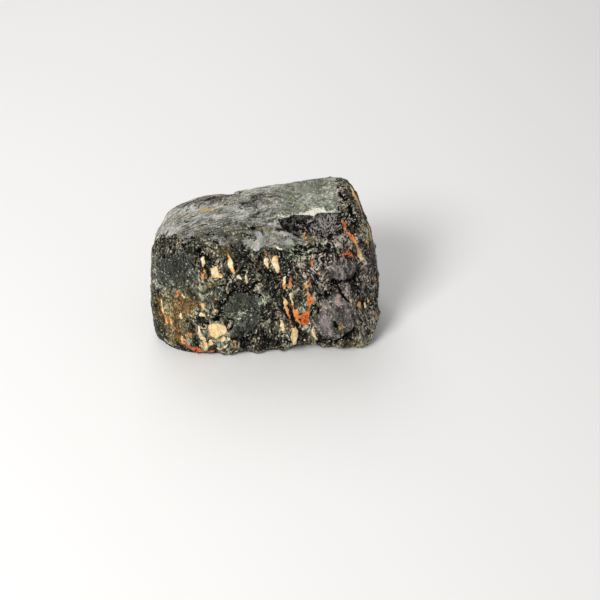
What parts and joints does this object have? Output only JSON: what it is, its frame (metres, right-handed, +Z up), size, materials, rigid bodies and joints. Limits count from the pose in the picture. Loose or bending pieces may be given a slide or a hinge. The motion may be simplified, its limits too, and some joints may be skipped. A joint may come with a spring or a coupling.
{
  "type": "raw black tourmaline",
  "caption": "Palm-sized block of raw black tourmaline with broken faces, a raised slab on top, open cracks and pale feldspar grains, flat underneath so that it rests on a shelf.",
  "frame": {"origin": "middle of the block's footprint, on the surface that it rests on", "axes": "+X along the block's longest side, +Y from the front with the pale grains to the back, +Z up"},
  "size_m": [0.066, 0.0384, 0.0423],
  "materials": {
    "black_tourmaline": "rough broken black mineral, dull to slightly glassy, with cream and orange mineral grains and rusty stains"
  },
  "bodies": {
    "root": {"tourmaline_block": "black_tourmaline"}
  },
  "joints": []
}
